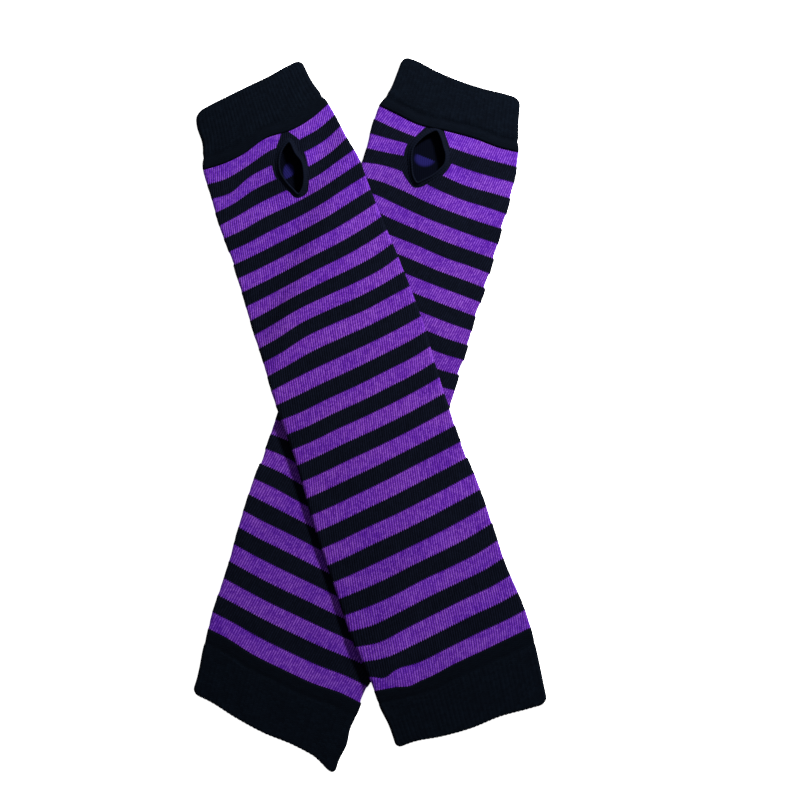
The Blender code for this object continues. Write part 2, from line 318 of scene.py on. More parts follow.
# %% Folds
# How far the folds wander outwards from the table of sections.
Fold = namedtuple("Fold", "course left right")
UPPER_FOLDS = table_of(
    Fold,
    (-3.8, 0.4, 0.2), (-2.8, 1.2, 0.3), (-1.3, -0.6, 0.4), (0, 0.0, 0.5), (1.5, -0.2, 0.5),
    (3.5, 0.1, 0.4), (4.5, -0.1, 0.8), (6.2, -0.5, 0.0), (8, 0.1, 0.0), (11.5, 0.2, 0.0), (14, -0.2, 0.0),
    (16.5, 0.5, 0.2), (22, 0.0, 0.0), (24, 0.0, -0.3), (26.5, 0.0, 0.9), (29.5, 0.4, 1.0),
    (31.5, 1.1, -0.2), (33.5, 0.2, 0.0), (35, 0.1, 0.0), (36, 0.2, 0.0), (37.5, -1.0, 0.4),
    (39.1, -0.8, 1.0),
)
LOWER_FOLDS = table_of(
    Fold,
    (-3.9, -0.8, 0.6), (-2, -0.1, 0.7), (-1.1, -0.5, 0.5), (0, 0.3, 0.5), (1.5, 0.1, 0.5), (3, -0.2, 0.3),
    (5, 0.2, -0.2), (7.5, 0.2, 0.4), (9.5, 0.2, 0.6), (10.7, 0.2, -0.1), (13, 0.2, 0.3), (16, 0.2, 0.3),
    (20, 0.2, 0.3), (24.3, 0.0, 0.3), (26, 0.6, 0.2), (29, 0.7, 0.2), (31.5, 0.0, 0.2), (33.5, 0.4, 2.6),
    (34.1, 0.5, 1.0), (35.6, 0.0, 0.7), (36.4, 0.0, -0.1), (37.2, -0.4, 1.2), (38.1, -0.4, 0.5),
    (38.9, 0.2, 1.2),
)
FOLDS = {"upper": UPPER_FOLDS, "lower": LOWER_FOLDS}

# How far each fold draws in over a purple stripe, as a rule and at some stripes. Inside the tube it draws
# in by a steady share of that.
INNER_SHARE = 0.75
DrawIn = namedtuple("DrawIn", "usual stripes")
DRAW_INS = {
    ("upper", "left"): DrawIn(0.2, {6: 0.6, 14: 0.2}),
    ("upper", "right"): DrawIn(0.1, {22: 0.4, 24: 0.7, 28: 0.4}),
    ("lower", "left"): DrawIn(0.2, {0: 0.5, 24: 0.9}),
    ("lower", "right"): DrawIn(0.7, {0: 0.4, 4: 1.0, 6: 0.9, 8: 1.3, 12: 0.8, 14: 1.4, 16: 0.2}),
}
STEP_LENGTH = 0.12
EARLY_SHARE = 0.45


def draw_in(glove, course, fold, inner):
    """How far a fold draws in over the purple stripes."""
    stripe = np.floor(course / 2) * 2
    phase = np.mod(course, 2)
    amounts = DRAW_INS[glove.name, fold]
    size = np.full(np.shape(course), amounts.usual)
    for start, amount in amounts.stripes.items():
        size = np.where(stripe == start, amount, size)
    ramp = np.clip(phase / STEP_LENGTH, 0, 1) * np.clip((1 - phase) / STEP_LENGTH + 0.5, 0, 1)
    share = np.where(inner, INNER_SHARE, ramp * (EARLY_SHARE + (1 - EARLY_SHARE) * phase))
    return np.where((course > 0) & (course < STRIPES), size * share, 0)


print("rows of folds:", len(UPPER_FOLDS), "and", len(LOWER_FOLDS))

# %% [markdown]
# ## A place on a glove
#
# Here the line, the width, the sag and the folds come together. A power of the side keeps what the folds do
# near the folds. The lower glove's arm hem also droops towards its right corner, as the real one does.

# %% Places on a glove
FOLD_POWER = 8
DROOP_START = 0.65
DROOP_COURSES = 3.9
LOWER_DROOP = 2.6


def place(glove, course, side, along=None, inner=False):
    """The plan position of each course and side. Along is how far it sags, if not as the table says."""
    middle_x, middle_y, across, turn = section_fields(glove, course)
    folds = read_table(FOLDS[glove.name], course)
    left = folds[..., 0] - draw_in(glove, course, "left", inner)
    right = folds[..., 1] - draw_in(glove, course, "right", inner)
    outwards = across / 2 * side + np.where(side > 0, right, -left) * side ** FOLD_POWER
    if along is None:
        along = sag(glove, course, side)
    if glove is LOWER:
        near_hem = smooth_step((course - STRIPES) / DROOP_COURSES)
        along = along + LOWER_DROOP * near_hem * smooth_step((side - DROOP_START) / (1 - DROOP_START))
    x = middle_x + outwards * np.cos(turn) + along * np.sin(turn)
    y = middle_y + outwards * np.sin(turn) - along * np.cos(turn)
    return x, y


print("course 10 of the upper glove starts at", np.round(place(UPPER, np.array(10.0), np.array(-1.0)), 1))

# %% [markdown]
# ## How high the cloth lies
#
# The lower glove lies on the table, and the upper one climbs over it. So the upper glove's height depends
# on how far a point is from the lower glove's outline, with a soft ramp down to the table outside it. A
# cloth simulation could do this too, but a rule gives the same each run.

# %% The lower glove's outline
OUTLINE_STEPS = 60


def closed_outline(glove):
    """The glove's outline in plan, as points from the hand end to the arm end and back."""
    course = np.linspace(glove.sections[0].course, glove.sections[-1].course, OUTLINE_STEPS)
    share = width_at(glove, course) / section_fields(glove, course)[2]
    left = np.stack(place(glove, course, -share), axis=1)
    right = np.stack(place(glove, course, share), axis=1)
    return np.concatenate([left, right[::-1]])


def distance_outside(points, x, y):
    """How far each position is outside a closed outline, or minus how far it is inside."""
    ahead = np.roll(points, -1, axis=0)
    nearest = np.full(x.shape, np.inf)
    crossings = np.zeros(x.shape, int)
    for (ax, ay), (bx, by) in zip(points, ahead):
        ex, ey = bx - ax, by - ay
        t = np.clip(((x - ax) * ex + (y - ay) * ey) / (ex * ex + ey * ey), 0, 1)
        nearest = np.minimum(nearest, np.hypot(ax + t * ex - x, ay + t * ey - y))
        if ey:
            crossings += ((ay > y) != (by > y)) & (x < ax + (y - ay) * ex / ey)
    return np.where(crossings % 2 == 1, -nearest, nearest)


LOWER_OUTLINE = closed_outline(LOWER)
print("outline points:", len(LOWER_OUTLINE))

# %% The lift over the lower glove
BODY_WALL = 1.3
PANEL_GAP = 0.5
CROWN = 0.9
CLEAR = 0.3
LIFT = 2 * BODY_WALL + PANEL_GAP + CROWN + CLEAR
FULL_LIFT_REACH = 6.0
RAMP = 17.0


def lift(glove, x, y):
    """How high the glove's underside lies at each position."""
    if glove.rests_on is None:
        return np.zeros(np.shape(x))
    outside = distance_outside(LOWER_OUTLINE, x, y)
    return LIFT * (1 - smooth_step((outside - FULL_LIFT_REACH) / RAMP))


print("the upper glove climbs", round(LIFT, 1), "mm")

# %% [markdown]
# ## Creases and crown
#
# Cloth that lies flat still has soft troughs and ridges. They are listed one by one, each with its own
# length, width and depth, as the real ones differ. The panels are also a little crowned in the middle, and
# the cloth stands up round the thumb hole.

# %% Creases
# A crease: its middle, how long and wide it is, how far it leans from the X axis, and how high it stands.
Crease = namedtuple("Crease", "x y length width lean rise")
UPPER_CREASES = table_of(
    Crease,
    (-66, 112, 16, 5, 34, -0.35), (-21, 129, 15, 4, 8, -0.40), (-48, 96, 22, 6, 24, 0.30),
    (-52, 70, 24, 7, 40, -0.35), (-14, 78, 20, 6, 18, -0.30), (-35, 42, 26, 8, 52, -0.40),
    (12, 40, 18, 6, 20, 0.30), (-20, 8, 24, 7, 30, 0.25), (24, -6, 20, 6, 38, -0.40),
    (-2, -38, 26, 8, 22, -0.30), (38, -52, 18, 6, 30, 0.35), (14, -84, 24, 7, 14, -0.35),
    (56, -92, 18, 6, 42, -0.35), (30, -112, 24, 7, 30, 0.25), (66, -128, 16, 6, 60, -0.40),
    (36, -150, 14, 5, 74, -0.30), (9.5, -136, 6, 1.8, -42, -0.45),
)
LOWER_CREASES = table_of(
    Crease,
    (52, 118, 18, 5, -36, -0.35), (8, 116, 14, 4, -10, -0.35), (40, 96, 22, 6, -26, 0.30),
    (46, 70, 20, 7, -14, -0.40), (26, 52, 20, 6, -34, 0.25), (-40, -34, 20, 6, -40, -0.35),
    (-48, -66, 22, 7, -18, -0.40), (-26, -84, 20, 6, -32, 0.30), (-66, -106, 18, 6, -38, -0.35),
    (-36, -118, 22, 7, -20, -0.30), (-62, -142, 14, 5, 62, 0.30), (-34, -152, 16, 5, 70, -0.35),
)
CREASES = {"upper": UPPER_CREASES, "lower": LOWER_CREASES}


def crease_rise(glove, x, y):
    """The troughs and ridges at each position."""
    rise = np.zeros(np.shape(x))
    for row in CREASES[glove.name]:
        lean = math.radians(row.lean)
        along = (x - row.x) * math.cos(lean) + (y - row.y) * math.sin(lean)
        across = (y - row.y) * math.cos(lean) - (x - row.x) * math.sin(lean)
        rise = rise + row.rise * np.exp(-(along / row.length) ** 2 - (across / row.width) ** 2)
    return rise


print("creases:", len(UPPER_CREASES), "and", len(LOWER_CREASES))

# %% The upper panel's rise
BULGE_REACH = 13.0


def upper_rise(glove, x, y, side):
    """How far the upper panel's outer face is over its height at the folds."""
    away = np.hypot(x - glove.hole.x, y - glove.hole.y) / BULGE_REACH
    side = np.clip(side, -1, 1)
    flat_share = 1 - side ** 2
    bulge = glove.hole.bulge * np.exp(-away ** 2)
    return CROWN * flat_share + bulge + crease_rise(glove, x, y) * flat_share ** 0.5


print("rise at the thumb hole:", upper_rise(UPPER, UPPER.hole.x, UPPER.hole.y, 0.0).round(1), "mm")

# %% [markdown]
# ## A knitted tube as a grid
#
# A tube of cloth is a grid: rings along the glove, and columns round it. The columns follow the wales,
# which are the upright rows of stitches. They run a little askew, because the yarn's twist turns the
# cloth, so each ring is turned a little against the last. The grid goes over the outer face, round the
# hem, back along the inner face and round the other hem, and closes on itself, so the wall has its real
# thickness and no open edge.

# %% The points of a tube
RIBS = 70
UNDER_SAG = 3.0
SKEW_MIDDLE = 150
END_COURSES = 4

# A ring: its course, its depth in the wall, and its share of the relief and of the hem's scallops.
Ring = namedtuple("Ring", "course depth relief scallop", defaults=(0.0,))


def tube_points(glove, rings, wall, columns, turn, relief):
    """Places for a grid of rings and columns. Relief says how deep the wall is cut at each column."""
    course, depth, strength, scallop = (column[:, None] for column in np.array(rings).T)
    share = np.arange(columns)[None, :] / columns
    course = course + scallop * np.cos(2 * math.pi * share * RIBS)
    height = 2 * wall + PANEL_GAP
    across = width_at(glove, course)
    flat = across / 2 - height / 2
    fold = math.pi * height / 2
    whole = 4 * flat + 2 * fold
    arc = np.mod(share * whole - turn * (distance_along(glove, course) - SKEW_MIDDLE), whole)
    top_cut, low_cut = relief(share)
    on_top = arc < 2 * flat
    on_right = (arc >= 2 * flat) & (arc < 2 * flat + fold)
    on_low = (arc >= 2 * flat + fold) & (arc < 4 * flat + fold)
    cut = np.where(on_low, low_cut, top_cut) * strength
    radius = height / 2 - depth - cut
    angle = np.where(on_right, (arc - 2 * flat), (arc - 4 * flat - fold)) / (height / 2)
    out = np.select(
        [on_top, on_right, on_low],
        [arc - flat, flat + radius * np.sin(angle), flat - (arc - 2 * flat - fold)],
        -flat - radius * np.sin(angle),
    )
    side = out / (section_fields(glove, course)[2] / 2)
    top_sag = sag(glove, course, side)
    from_ends = smooth_step((np.minimum(course, STRIPES - course) + 1) / END_COURSES)
    along = top_sag + on_low * from_ends * (UNDER_SAG * (1 - side ** 2) - top_sag)
    x, y = place(glove, course, side, along, depth > wall / 2)
    rise = upper_rise(glove, x, y, (arc - flat) / flat)
    up = np.select(
        [on_top, on_right, on_low],
        [height - depth - cut + rise, height / 2 + radius * np.cos(angle), depth + cut],
        height / 2 - radius * np.cos(angle),
    )
    return np.stack([x, y, up + lift(glove, x, y)], axis=-1)


print("ribs round a cuff:", RIBS)

# %% [markdown]
# ## From points to a mesh
#
# Each point is joined to the next in its ring and in its column. Both run round, so the mesh is closed. A
# UV map counts the wales across and the rows along, and the materials draw their stitches by it.

# %% A grid as an object
def grid_object(name, points, rows, wales):
    """A closed grid as an object. Its rows and wales give the knit's UV map."""
    rings, columns, _ = points.shape
    number = np.arange(rings * columns).reshape(rings, columns)
    after = np.roll(number, -1, axis=1)
    quads = np.stack([number, after, np.roll(after, -1, axis=0), np.roll(number, -1, axis=0)], axis=-1)
    u = np.arange(columns + 1) * (wales / columns)
    v = np.append(rows, rows[0])
    corners = np.empty((rings, columns, 4, 2))
    corners[..., 0, 0] = corners[..., 3, 0] = u[:-1]
    corners[..., 1, 0] = corners[..., 2, 0] = u[1:]
    corners[..., 0, 1] = corners[..., 1, 1] = v[:-1, None]
    corners[..., 2, 1] = corners[..., 3, 1] = v[1:, None]
    flat = points.reshape(-1, 3) * MM
    faces = quads.reshape(-1, 4)
    corners = corners.reshape(-1, 4, 2)
    first, second, third = (flat[faces[:, k]] for k in (0, 1, 2))
    if np.einsum("ij,ij->i", first, np.cross(second, third)).sum() < 0:
        faces = faces[:, ::-1]
        corners = corners[:, ::-1]
    mesh = bpy.data.meshes.new(name)
    mesh.from_pydata(flat.tolist(), [], faces.tolist())
    mesh.uv_layers.new(name="knit").data.foreach_set("uv", corners.ravel())
    mesh.polygons.foreach_set("use_smooth", np.ones(len(faces), bool))
    mesh.update()
    piece = bpy.data.objects.new(name, mesh)
    bpy.context.scene.collection.objects.link(piece)
    return piece


def keep(piece, name, values):
    """Keeps a number for each point on the mesh, for a material to read."""
    piece.data.attributes.new(name, "FLOAT", "POINT").data.foreach_set("value", values)


def tell(pieces):
    """Prints how many triangles each piece has."""
    for piece in pieces.values():
        print(piece.name, sum(len(face.vertices) - 2 for face in piece.data.polygons), "triangles")


print("helpers ready: grid_object, keep and tell")

# %% [markdown]
# ## The striped bodies
#
# Plain knit has a row of raised wales with fine grooves between them. The grooves are cut into the wall as
# real shape, with four points to a wale. The stitches themselves are smaller and come with the material.
# The rings lie closer together at the stripes' borders and near the thumb hole, where the cloth turns most.

# %% Rings and grooves of a body
WALES = 140
GROOVE = 0.15
GROOVE_POWER = 1.5
NEAR_HOLE = 8
# Where the rings lie in a pair of stripes, near the thumb hole and elsewhere.
CLOSE_RINGS = (0.0, 0.12, 0.3, 0.5, 0.7, 0.94, 1.06, 1.25, 1.45, 1.65, 1.85)
WIDE_RINGS = (0.0, 0.12, 0.5, 0.94, 1.06, 1.5)


def wale_grooves(share):
    """How deep the grooves between the wales are, on both panels."""
    wave = 0.5 + 0.5 * np.cos(2 * math.pi * share * WALES)
    cut = GROOVE * wave ** GROOVE_POWER
    return cut, cut


def body_courses():
    """The courses of a body's rings, closer together near the thumb hole and at the stripes' borders."""
    courses = []
    for pair in range(0, STRIPES, 2):
        steps = CLOSE_RINGS if pair < NEAR_HOLE else WIDE_RINGS
        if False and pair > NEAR_HOLE:
            steps = (0.0, 1.0)
        courses += [pair + step for step in steps if pair + step < STRIPES]
    return np.array(courses + [STRIPES], float)


print("rings on a body's outer face:", len(body_courses()))

# %% Bodies
POINTS_PER_WALE = 4
INNER_EVERY = 1.0
SKEW = math.tan(math.radians(11))
PURPLE_ROWS = 9
BLACK_ROWS = 8
PURPLE_WIDER = -0.015


def body(glove):
    """One glove's striped body, without its thumb hole."""
    outer = body_courses()
    inner = np.arange(float(STRIPES), -0.1, -INNER_EVERY)
    rings = [Ring(course, 0.0, 1.0) for course in outer]
    rings += [Ring(course, BODY_WALL, 0.0) for course in inner]
    points = tube_points(glove, rings, BODY_WALL, WALES * POINTS_PER_WALE, SKEW, wale_grooves)
    pairs = np.arange(-2, STRIPES + 2, 2)
    borders = np.stack([pairs - PURPLE_WIDER, pairs + 1 + PURPLE_WIDER], axis=1).ravel()
    repeats = np.stack([pairs / 2, pairs / 2], axis=1)
    counts = repeats * (PURPLE_ROWS + BLACK_ROWS) + np.array([0, PURPLE_ROWS])
    rows = np.interp([ring.course for ring in rings], borders, counts.ravel())
    piece = grid_object(f"{glove.name}_body_knit", points, rows, WALES)
    # The inner face is marked so that the material can paint it dark, as painted shade.
    inside = np.zeros(points.shape[:2])
    inside[len(outer):] = 1.0
    keep(piece, "inside", inside.ravel())
    return piece


bodies = {glove.name: body(glove) for glove in (LOWER, UPPER)}
tell(bodies)

# %% [markdown]
# ## The thumb holes
#
# The real hole is a slit that the knitting leaves open. Its edge is turned into a lip, and black cloth lies
# round it. Both are given as some places in plan with a smooth closed curve through them, because a sewn
# hole is no plain oval.

# %% Curves round the holes
# The crest of the lip, and the border of the black cloth round it, as places in plan.
Place = namedtuple("Place", "x y")
LIPS = {
    "upper": table_of(
        Place,
        (-40.9, 138.6), (-37.3, 132.6), (-34.2, 128.4), (-33.2, 123.6), (-33.1, 119.0), (-33.9, 115.0),
        (-35.8, 112.0), (-39.2, 114.9), (-42.8, 118.9), (-45.0, 122.6), (-45.8, 128.3), (-44.3, 134.6),
    ),
    "lower": table_of(
        Place,
        (34.4, 144.4), (36.4, 141.2), (37.9, 136.2), (39.0, 132.1), (38.4, 127.4), (35.2, 123.7),
        (31.7, 121.1), (27.6, 119.1), (24.4, 117.8), (22.4, 120.9), (21.6, 126.2), (21.4, 130.8),
        (22.3, 135.4), (25.6, 139.6), (30.2, 143.0),
    ),
}
BLACK_BORDERS = {
    "upper": table_of(
        Place,
        (-43.2, 146.0), (-40.6, 143.6), (-36.0, 140.1), (-33.1, 134.0), (-31.0, 125.8), (-30.6, 119.1),
        (-31.8, 112.2), (-34.8, 110.4), (-37.5, 110.1), (-40.4, 112.8), (-44.7, 116.1), (-47.0, 119.4),
        (-49.3, 126.2), (-47.7, 134.3), (-45.3, 140.7),
    ),
    "lower": table_of(
        Place,
        (29.3, 146.5), (33.0, 149.0), (37.0, 146.4), (39.1, 141.1), (40.8, 136.2), (42.2, 128.9),
        (37.9, 121.9), (34.0, 118.6), (29.8, 117.3), (27.4, 115.9), (22.8, 115.3), (19.6, 118.7),
        (16.8, 123.7), (17.5, 131.2), (19.7, 137.8), (23.4, 141.1),
    ),
}


def closed_curve(places, steps):
    """Evenly spaced points on a smooth closed curve, and the way outwards at each."""
    wrapped = np.array(places * 3, float)
    run = np.concatenate([[0], np.cumsum(np.hypot(*np.diff(wrapped, axis=0).T))])
    count = len(places)
    at = np.linspace(run[count], run[2 * count], steps, endpoint=False)
    points = through(run, wrapped, at)
    ahead = np.roll(points, -1, axis=0) - np.roll(points, 1, axis=0)
    outwards = np.stack([-ahead[:, 1], ahead[:, 0]], axis=1) / np.hypot(*ahead.T)[:, None]
    return points, outwards


for name, places in LIPS.items():
    print(name, "lip:", len(places), "places")

# %% [markdown]
# ## Cutting the holes
#
# A prism on the lip's curve is cut from the upper panel alone, so the inside of the lower panel shows
# through the opening. A Boolean on the finished tube keeps the grid itself simple.

# %% Cutting the holes
HOLE_STEPS = 120
CUT_OUTSIDE_LIP = 0.5
CUT_TOP = 14.0
BETWEEN_PANELS = BODY_WALL + PANEL_GAP / 2


def cut_thumb_hole(glove, piece):
    """Cuts the hole through the upper panel of a body."""
    bpy.ops.object.select_all(action="DESELECT")
    bpy.ops.mesh.primitive_cylinder_add(vertices=HOLE_STEPS, radius=1, depth=1)
    tool = bpy.context.object
    points, outwards = closed_curve(LIPS[glove.name], HOLE_STEPS)
    points = points + CUT_OUTSIDE_LIP * outwards
    for vertex in tool.data.vertices:
        turn = math.atan2(vertex.co.y, vertex.co.x) / (2 * math.pi)
        x, y = points[round(-turn * HOLE_STEPS) % HOLE_STEPS]
        z = CUT_TOP if vertex.co.z > 0 else BETWEEN_PANELS
        vertex.co = (x * MM, y * MM, z * MM)
    mesh = bmesh.new()
    mesh.from_mesh(tool.data)
    bmesh.ops.recalc_face_normals(mesh, faces=mesh.faces)
    mesh.to_mesh(tool.data)
    mesh.free()
    boolean = piece.modifiers.new("thumb hole", "BOOLEAN")
    boolean.operation = "DIFFERENCE"
    boolean.solver = "EXACT"
    boolean.object = tool
    bpy.ops.object.select_all(action="DESELECT")
    bpy.context.view_layer.objects.active = piece
    piece.select_set(True)
    bpy.ops.object.modifier_apply(modifier=boolean.name)
    bpy.data.objects.remove(tool)


for glove in (LOWER, UPPER):
    cut_thumb_hole(glove, bodies[glove.name])
tell(bodies)

# %% [markdown]
# ## The black cloth round the holes
#
# The black cloth crosses the stripes, so the stripes' map can't draw it. Instead each point of the mesh
# keeps how far it is outside the black border, and the material reads that. The border stays sharp, because
# the distance changes evenly from point to point.

# %% The black border
BORDER_REACH = 40
FAR_OUTSIDE = 20.0


def mark_black_border(glove, piece):
    """Keeps on the mesh how far each point is outside the black cloth round the hole, in millimetres."""
    count = len(piece.data.vertices)
    places = np.empty(count * 3)
    piece.data.vertices.foreach_get("co", places)
    x, y, z = places.reshape(-1, 3).T / MM
    border, _ = closed_curve(BLACK_BORDERS[glove.name], HOLE_STEPS)
    near = np.hypot(x - glove.hole.x, y - glove.hole.y) < BORDER_REACH
    outside = np.full(count, FAR_OUTSIDE)
    outside[near] = distance_outside(border, x[near], y[near])
    outside[z < BETWEEN_PANELS] = FAR_OUTSIDE
    keep(piece, "past_black_border", outside)
    return int((outside < 0).sum())


for glove in (LOWER, UPPER):
    print(glove.name, "glove:", mark_black_border(glove, bodies[glove.name]), "points in the black cloth")

# %% [markdown]
# ## The ribbed cuffs
#
# One-by-one rib stands one wale up and the next one down, so it is springy and grips the arm. Each rib is
# raised in the wall's outer face. Between the ribs and the first stripe lies a narrow plain band, with a
# soft trough where the two knits pull at each other. The hem is a soft roll, slightly scalloped by the
# ribs.

# %% Ribs
RIB_RISE = 0.075
RIB_POWER = 0.8
UNDER_GROOVE = 0.25


def rib_relief(share):
    """Ribs stand up on the upper panel, and are grooves in the one that lies on the table."""
    wave = 0.5 + 0.5 * np.cos(2 * math.pi * share * RIBS)
    ridge = wave ** RIB_POWER
    return -RIB_RISE * ridge, UNDER_GROOVE * (1 - ridge)


print("a rib stands", RIB_RISE, "mm up")

# %% Cuffs
CUFF_WALL = 1.5
POINTS_PER_RIB = 6
PLAIN_BAND = {"hand": 4.8, "arm": 7.0}
BAND_TROUGH = {"hand": 0.55, "arm": 0.2}
TROUGH_REACH = 1.2
RIBS_RISE_OVER = 1.5
HEM_SCALLOP = 0.026
SCALLOP_REACH = 1.5
# The hem's roll: how deep in the wall each ring is, as a share of it, and how far from the hem.
HEM_ROLL = ((0.0, 0.6), (0.12, 0.2), (0.5, 0.0), (0.88, 0.2))
CUFF_RING_STEP = 0.9
INNER_RINGS = 8
ROW_HEIGHT = 0.95


def cuff(glove, end):
    """One ribbed cuff, with a plain band where it meets the body."""
    hem = glove.sections[0 if end == "hand" else -1].course
    seam = 0.0 if end == "hand" else float(STRIPES)
    length = abs(float(distance_along(glove, hem) - distance_along(glove, seam)))
    per_mm = (seam - hem) / length
    step = CUFF_RING_STEP
    scallop = math.copysign(HEM_SCALLOP, -per_mm)
    rings = []
    for run in np.linspace(length, HEM_ROLL[0][1], int(length / step)):
        past_band = length - run - PLAIN_BAND[end]
        trough = BAND_TROUGH[end] * math.exp(-(past_band / TROUGH_REACH) ** 2)
        ribbed = float(smooth_step(past_band / RIBS_RISE_OVER))
        rings.append(Ring(hem + run * per_mm, trough, ribbed, scallop * (run < SCALLOP_REACH)))
    for share, run in HEM_ROLL[1:]:
        rings.append(Ring(hem + run * per_mm, share * CUFF_WALL, 1 - share, scallop))
    for run in np.linspace(HEM_ROLL[0][1], length, INNER_RINGS):
        rings.append(Ring(hem + run * per_mm, CUFF_WALL, 0.0))
    points = tube_points(glove, rings, CUFF_WALL, RIBS * POINTS_PER_RIB, 0.0, rib_relief)
    rows = distance_along(glove, np.array([ring.course for ring in rings])) / ROW_HEIGHT
    piece = grid_object(f"{glove.name}_{end}_cuff_knit", points, rows, RIBS)
    keep(piece, "ribbed", np.repeat([ring.relief for ring in rings], points.shape[1]))
    return piece


cuffs = {(glove.name, end): cuff(glove, end) for glove in (LOWER, UPPER) for end in ("hand", "arm")}
tell(cuffs)

# %% [markdown]
# ## The thumb bands
#
# A narrow black strip is sewn round the slit and rolls up into a lip. Its profile is swept along the lip's
# curve and sits on the panel's own height, so it rises and falls with the cloth. That height needs the side
# of each place, which is looked for first.

# %% The course and side under a place
STRIPE_PITCH = 8.0
FIRST_GUESS = 3.0
SEARCH_STEPS = 12


def locate(glove, x, y):
    """The course and side of each position, found by stepping along the glove to the line that it is on."""
    course = np.full(np.shape(x), FIRST_GUESS)
    for _ in range(SEARCH_STEPS):
        middle_x, middle_y, across, turn = section_fields(glove, course)
        right = (x - middle_x) * np.cos(turn) + (y - middle_y) * np.sin(turn)
        down = (x - middle_x) * np.sin(turn) - (y - middle_y) * np.cos(turn)
        side = right / (across / 2)
        course = np.clip(course + (down - sag(glove, course, side)) / STRIPE_PITCH, -1, STRIPES)
    return course, side


print("the upper thumb hole's course and side:", np.round(locate(UPPER, UPPER.hole.x, UPPER.hole.y), 1))

# %% Bands
# The strip's profile: how far out from the lip's crest, and how high over the panel.
BandPoint = namedtuple("BandPoint", "out rise")
BAND_PROFILE = table_of(
    BandPoint,
    (-0.30, -1.20), (-0.50, -0.60), (-0.60, 0.05), (-0.54, 0.50), (-0.32, 0.88), (0.00, 1.00),
    (0.32, 0.88), (0.56, 0.60), (0.80, 0.38), (1.20, 0.27), (1.60, 0.17), (1.90, 0.02), (1.90, -0.25),
    (1.30, -0.45), (0.60, -0.90),
)
BAND_STATIONS = 480
OVERLOCK_STITCHES = 56
STITCH_RISE = 0.06
STITCH_SLANT = 9
STITCH_LOW_END = 0.35
BAND_WALES = 8


def band(glove):
    """The band round one thumb hole."""
    crest, outwards = closed_curve(LIPS[glove.name], BAND_STATIONS)
    out = np.array([point.out for point in BAND_PROFILE])[None, :, None]
    rise = np.array([point.rise for point in BAND_PROFILE])[None, :]
    places = crest[:, None, :] + out * outwards[:, None, :]
    x, y = places[..., 0], places[..., 1]
    _, side = locate(glove, x, y)
    seat = lift(glove, x, y) + 2 * BODY_WALL + PANEL_GAP + upper_rise(glove, x, y, side)
    # The stitches over the lip are raised as slanting ridges.
    round_it = np.arange(BAND_STATIONS)[:, None] * (2 * math.pi * OVERLOCK_STITCHES / BAND_STATIONS)
    turn = np.arange(len(BAND_PROFILE))[None, :] / len(BAND_PROFILE)
    stitch = np.maximum(np.sin(round_it + STITCH_SLANT * turn), 0) * STITCH_RISE * (rise > STITCH_LOW_END)
    points = np.stack([x, y, seat + rise + stitch], axis=-1)
    rows = np.arange(BAND_STATIONS) * (OVERLOCK_STITCHES / BAND_STATIONS)
    return grid_object(f"{glove.name}_thumb_band_roll", points, rows, BAND_WALES)


bands = {glove.name: band(glove) for glove in (LOWER, UPPER)}
tell(bands)

# %% [markdown]
# ## A small language for materials
#
# A material is a net of nodes. Two small classes let the net be written as plain sums: a wire carries one
# number and knows the operators, and a finish makes the nodes and joins them. A knit made this way stays
# sharp from near, because there is no picture behind it.

# %% Wires


class Wire:
    """A node's output, on which Python's operators make Math nodes."""

    def __init__(self, finish, socket):
        self.finish = finish
        self.socket = socket

    def maths(self, operation, *values):
        sockets = dict(enumerate((self, *values)))
        return self.finish.node("Math", {"operation": operation}, sockets)

    def __add__(self, other):
        return self.maths("ADD", other)

    __radd__ = __add__

    def __sub__(self, other):
        return self.maths("SUBTRACT", other)

    def __rsub__(self, other):
        return self.finish.node("Math", {"operation": "SUBTRACT"}, {0: other, 1: self})

    def __mul__(self, other):
        return self.maths("MULTIPLY", other)

    __rmul__ = __mul__

    def __truediv__(self, other):
        return self.maths("DIVIDE", other)

    def __mod__(self, other):
        return self.maths("FLOORED_MODULO", other)

    def __abs__(self):
        return self.maths("ABSOLUTE")

    def floor(self):
        return self.maths("FLOOR")

    def rising(self, low, high):
        """0 below low, 1 above high, and smooth between them."""
        sockets = {"Value": self, "From Min": low, "From Max": high}
        return self.finish.node("MapRange", {"interpolation_type": "SMOOTHSTEP"}, sockets)


print("a wire has", sum(callable(part) for part in vars(Wire).values()), "operators and steps")

# %% Finishes


